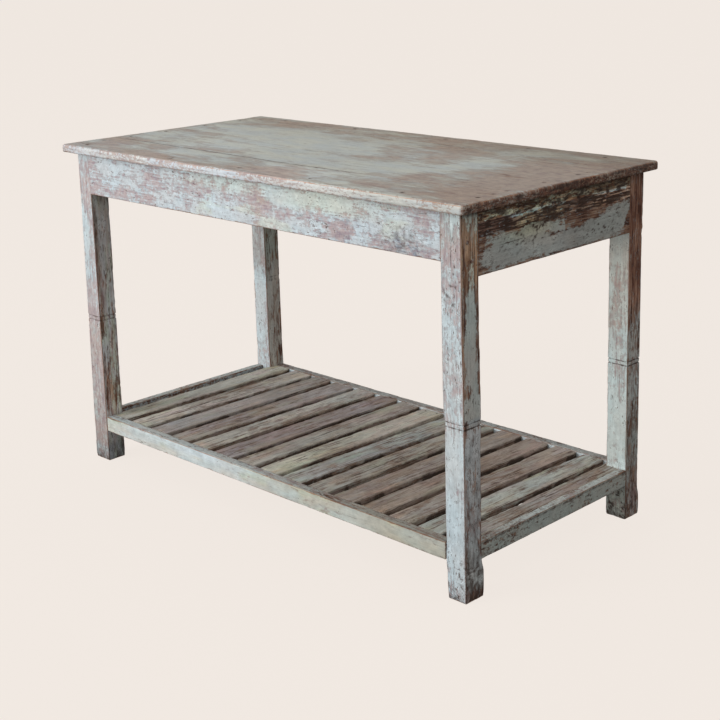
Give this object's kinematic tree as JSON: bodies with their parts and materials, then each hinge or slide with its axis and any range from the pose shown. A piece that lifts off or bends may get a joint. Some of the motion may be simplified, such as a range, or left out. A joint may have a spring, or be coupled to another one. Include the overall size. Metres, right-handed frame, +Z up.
{
  "type": "potting bench",
  "caption": "Rectangular painted wooden work table on square legs, with deep aprons under a flat boarded top and a low slatted shelf for pots and sacks.",
  "frame": {"origin": "on the floor, at the middle of the bench in plan", "axes": "+X along the length to the right, -Y the front long side, +Z up"},
  "size_m": [1.222, 0.604, 0.762],
  "materials": {
    "worktop_paint": "old grey-green paint worn through to pinkish brown wood, matt, rounded worn edges",
    "frame_paint": "pale blue-green paint flaking along the grain over pinkish brown weathered wood, matt",
    "shelf_paint": "thin worn grey, mauve and cream paint over brown wood, matt",
    "bare_wood": "unpainted aged softwood, matt",
    "iron": "dark rusted iron, rough"
  },
  "bodies": {
    "root": {"leg_front_left": "frame_paint", "leg_front_right": "frame_paint", "leg_back_left": "frame_paint", "leg_back_right": "frame_paint", "front_apron": "frame_paint", "back_apron": "frame_paint", "left_end_apron": "frame_paint", "right_end_apron": "frame_paint", "top_board_front": "worktop_paint", "top_board_middle": "worktop_paint", "top_board_back": "worktop_paint", "top_bearer": "bare_wood", "shelf_front_rail": "frame_paint", "shelf_back_rail": "frame_paint", "shelf_left_rail": "frame_paint", "shelf_right_rail": "frame_paint", "shelf_ledger_front": "bare_wood", "shelf_ledger_back": "bare_wood", "shelf_slat_01": "shelf_paint", "shelf_slat_02": "shelf_paint", "shelf_slat_03": "shelf_paint", "shelf_slat_04": "shelf_paint", "shelf_slat_05": "shelf_paint", "shelf_slat_06": "shelf_paint", "shelf_slat_07": "shelf_paint", "shelf_slat_08": "shelf_paint", "shelf_slat_09": "shelf_paint", "shelf_slat_10": "shelf_paint", "shelf_slat_11": "shelf_paint", "shelf_slat_12": "shelf_paint", "shelf_slat_13": "shelf_paint", "shelf_slat_14": "shelf_paint", "shelf_slat_15": "shelf_paint", "apron_pegs": "frame_paint", "shelf_rail_pegs": "frame_paint", "top_nails": "iron", "bearer_screws": "iron", "top_seam_dowels": "bare_wood", "ledger_nails": "iron", "slat_nails": "iron"}
  },
  "joints": []
}
